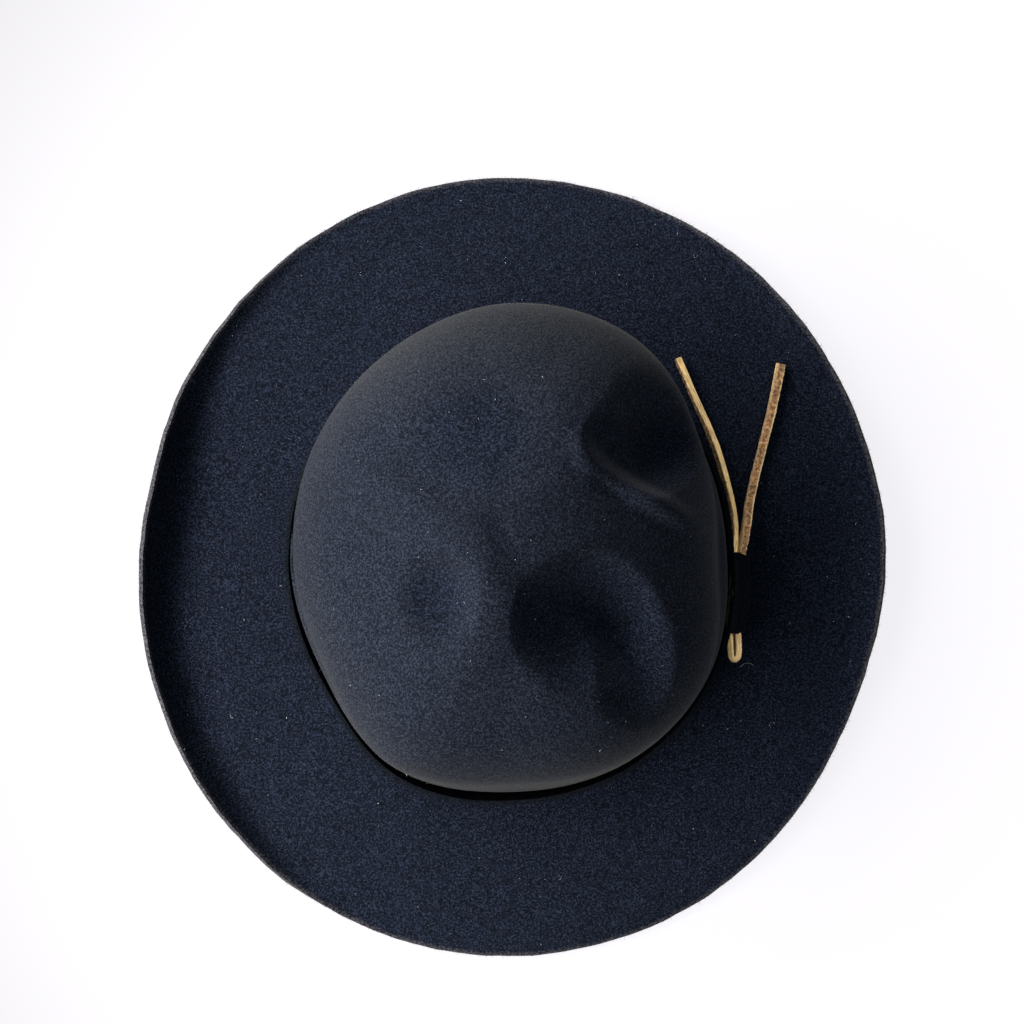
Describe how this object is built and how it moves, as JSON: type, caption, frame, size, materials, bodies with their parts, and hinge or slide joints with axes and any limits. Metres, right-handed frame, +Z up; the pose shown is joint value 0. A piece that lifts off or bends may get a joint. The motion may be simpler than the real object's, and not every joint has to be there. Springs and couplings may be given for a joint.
{
  "type": "felt hat",
  "caption": "Soft wide-brimmed felt hat with a hand-dented open crown, a band of the same felt and a flat leather lace threaded through slits in the band.",
  "frame": {"origin": "on the surface that the hat rests on, under the middle of its brim", "axes": "+Z up through the crown, -Y towards the front of the hat, +Y towards its back, +X towards the side with the lace"},
  "size_m": [0.3192, 0.3368, 0.123],
  "materials": {
    "felt": "matt fulled wool felt, near-black navy",
    "band_felt": "matt fulled wool felt, near-black navy",
    "lace_leather": "natural vegetable-tanned leather, cut edges smooth, flesh side rough"
  },
  "bodies": {
    "root": {"felt_body": "felt", "hat_band": "band_felt", "lace_bight": "lace_leather", "lace_tail_inner": "lace_leather", "lace_tail_outer": "lace_leather"}
  },
  "joints": []
}
